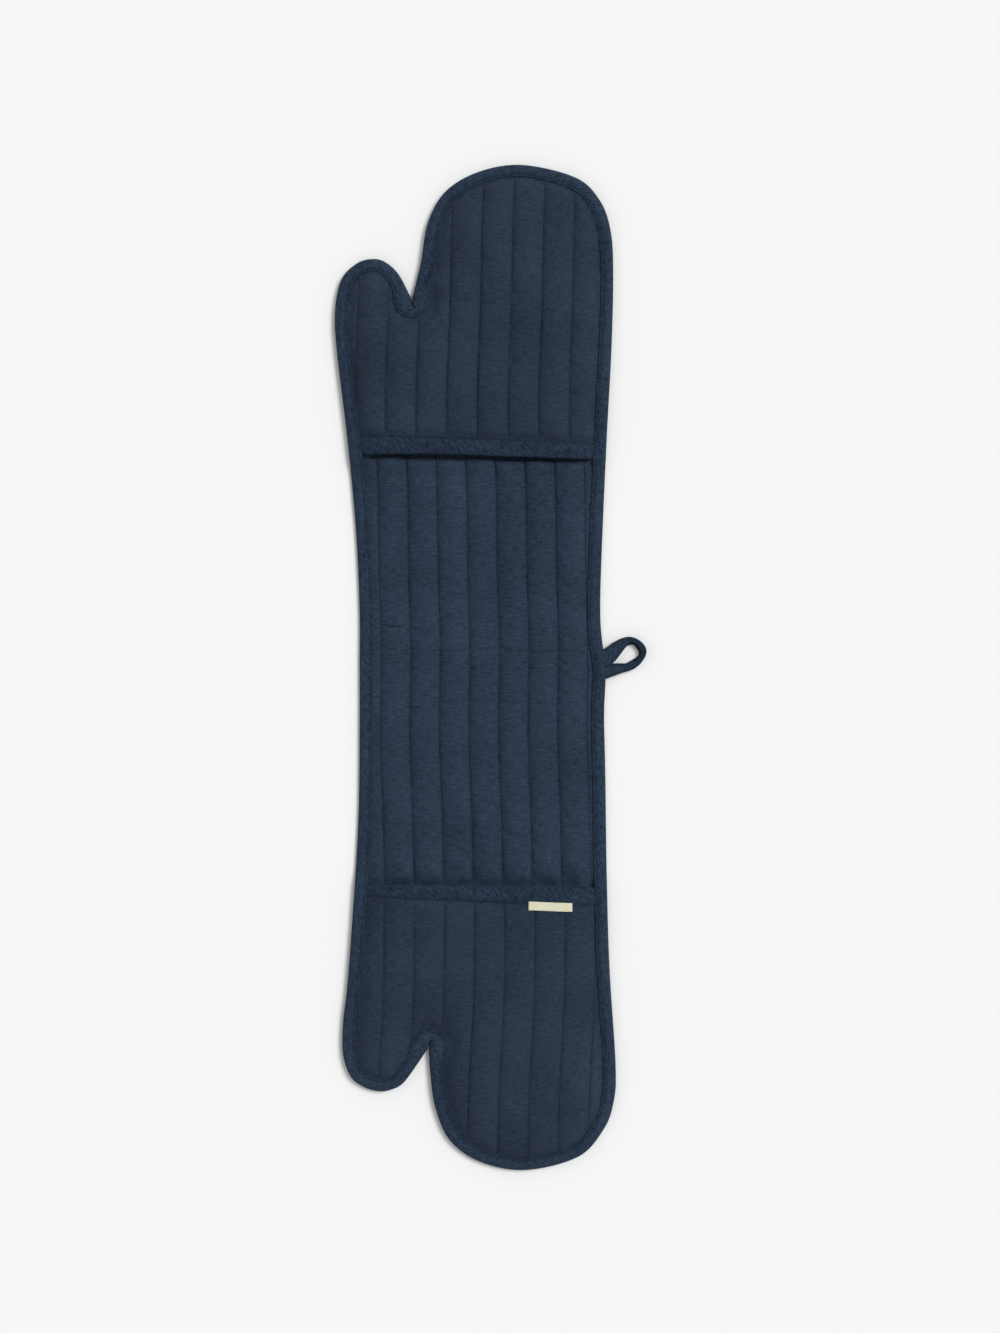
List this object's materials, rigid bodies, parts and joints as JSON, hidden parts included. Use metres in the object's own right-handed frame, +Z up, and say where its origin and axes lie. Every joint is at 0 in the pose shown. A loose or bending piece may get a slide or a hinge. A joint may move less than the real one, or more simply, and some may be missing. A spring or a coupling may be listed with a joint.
{
  "type": "double oven glove",
  "caption": "Long quilted cloth strip with a mitten-shaped hand pocket sewn on each end, bias-bound edges and a hanging loop at the middle.",
  "frame": {"origin": "on the flat underside at the middle of the strip's width and length, where the glove lies on a table", "axes": "+X across the strip towards the hanging loop, +Y along the strip towards the upper pocket of the picture, +Z up out of the pockets' side"},
  "size_m": [0.263, 0.85, 0.0199],
  "materials": {
    "panel_cloth": "slate blue cotton-linen plain weave, mottled light and dark yarns",
    "back_cloth": "the same plain weave on the back of the strip",
    "lining_cloth": "the same plain weave inside the pockets",
    "wadding": "off-white needled cotton wadding, matte",
    "binding_tape": "bias-cut tape of the same cloth, its weave running diagonally",
    "label_tape": "cream woven label tape with no lettering"
  },
  "bodies": {
    "upper_half": {"upper_back_fabric": "back_cloth", "upper_strip_wadding": "wadding", "upper_inner_fabric": "panel_cloth", "upper_edge_binding": "binding_tape", "upper_pocket_sewn_edge": "panel_cloth", "loop_sewn_end": "binding_tape"},
    "lower_half": {"lower_back_fabric": "back_cloth", "lower_strip_wadding": "wadding", "lower_inner_fabric": "panel_cloth", "lower_edge_binding": "binding_tape", "lower_pocket_sewn_edge": "panel_cloth"},
    "upper_pocket": {"upper_pocket_lining": "lining_cloth", "upper_pocket_wadding": "wadding", "upper_pocket_outer_fabric": "panel_cloth", "upper_pocket_hem": "binding_tape"},
    "lower_pocket": {"lower_pocket_lining": "lining_cloth", "lower_pocket_wadding": "wadding", "lower_pocket_outer_fabric": "panel_cloth", "lower_pocket_hem": "binding_tape", "label": "label_tape"},
    "loop": {"hanging_loop": "binding_tape"}
  },
  "joints": [
    {"name": "centre_fold", "type": "hinge", "parent": "upper_half", "child": "lower_half", "pos_m": [0, -0.0085, 0.0073], "axis": [-1, 0, 0], "range_deg": [0, 150]},
    {"name": "upper_pocket_open", "type": "hinge", "parent": "upper_half", "child": "upper_pocket", "pos_m": [0, 0.41385, 0.0069], "axis": [-1, 0, 0], "range_deg": [0, 8]},
    {"name": "lower_pocket_open", "type": "hinge", "parent": "lower_half", "child": "lower_pocket", "pos_m": [0, -0.41385, 0.0069], "axis": [1, 0, 0], "range_deg": [0, 8]},
    {"name": "loop_swing", "type": "hinge", "parent": "upper_half", "child": "loop", "pos_m": [0.1015, 0.003, 0.0065], "axis": [0, -1, 0], "range_deg": [0, 75]}
  ]
}
